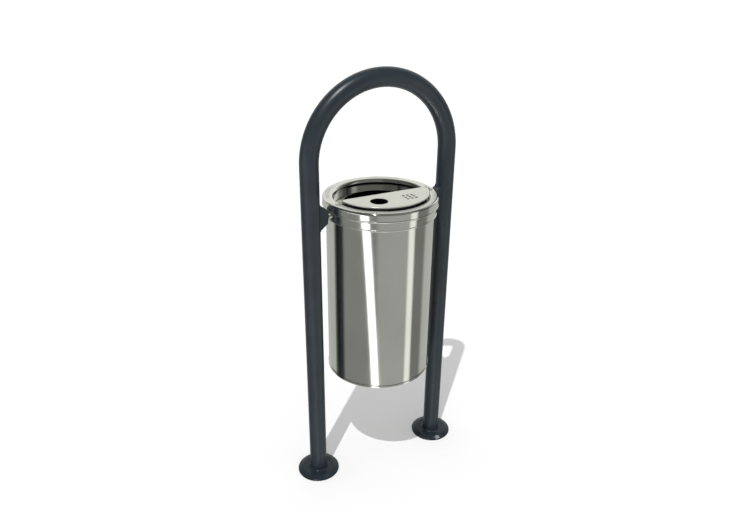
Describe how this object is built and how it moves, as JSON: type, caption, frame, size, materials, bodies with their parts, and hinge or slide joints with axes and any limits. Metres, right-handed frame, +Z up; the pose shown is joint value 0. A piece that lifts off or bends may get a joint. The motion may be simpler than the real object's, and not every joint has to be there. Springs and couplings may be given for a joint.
{
  "type": "litter bin",
  "caption": "Round polished steel litter bin with a half-round ashtray lid, hung on pivots between the legs of a bent tube hoop and tipped over to be emptied.",
  "frame": {"origin": "on the ground, midway between the two feet", "axes": "+Z up, +X from the left leg to the right leg, -Y towards the ashtray side"},
  "size_m": [0.535, 0.3164, 1.2],
  "materials": {
    "powder_coat": "satin anthracite powder coat",
    "polished_steel": "mirror-polished stainless steel",
    "satin_steel": "fine satin stainless steel",
    "zinc_plate": "zinc-plated steel",
    "black_enamel": "matt black enamel",
    "bush_plastic": "black nylon"
  },
  "bodies": {
    "hoop": {"hoop_tube": "powder_coat", "left_base_cover": "powder_coat", "right_base_cover": "powder_coat", "left_bracket": "powder_coat", "right_bracket": "powder_coat", "left_base_flange": "zinc_plate", "right_base_flange": "zinc_plate", "pivot_bolts": "zinc_plate", "pivot_washers": "zinc_plate", "pivot_nuts": "zinc_plate"},
    "drum": {"drum_shell": "polished_steel", "drum_base": "polished_steel", "drum_collar": "polished_steel", "backing_plates": "polished_steel", "pivot_bosses": "polished_steel", "bag_ring": "polished_steel", "pivot_bushes": "bush_plastic"},
    "lid": {"lid_ring": "polished_steel"},
    "pan": {"ash_pan": "black_enamel"},
    "cover_plate": {"ashtray_plate": "satin_steel"}
  },
  "joints": [
    {"name": "drum_tilt", "type": "hinge", "parent": "hoop", "child": "drum", "pos_m": [0, 0, 0.83], "axis": [1, 0, 0], "range_deg": [-140, 140]},
    {"name": "lid_lift", "type": "slide", "parent": "drum", "child": "lid", "axis": [0, 0, 1], "range_m": [0, 0.1]},
    {"name": "pan_lift", "type": "slide", "parent": "lid", "child": "pan", "axis": [0, 0, 1], "range_m": [0, 0.05]},
    {"name": "cover_plate_lift", "type": "slide", "parent": "pan", "child": "cover_plate", "axis": [0, 0, 1], "range_m": [0, 0.03]}
  ]
}
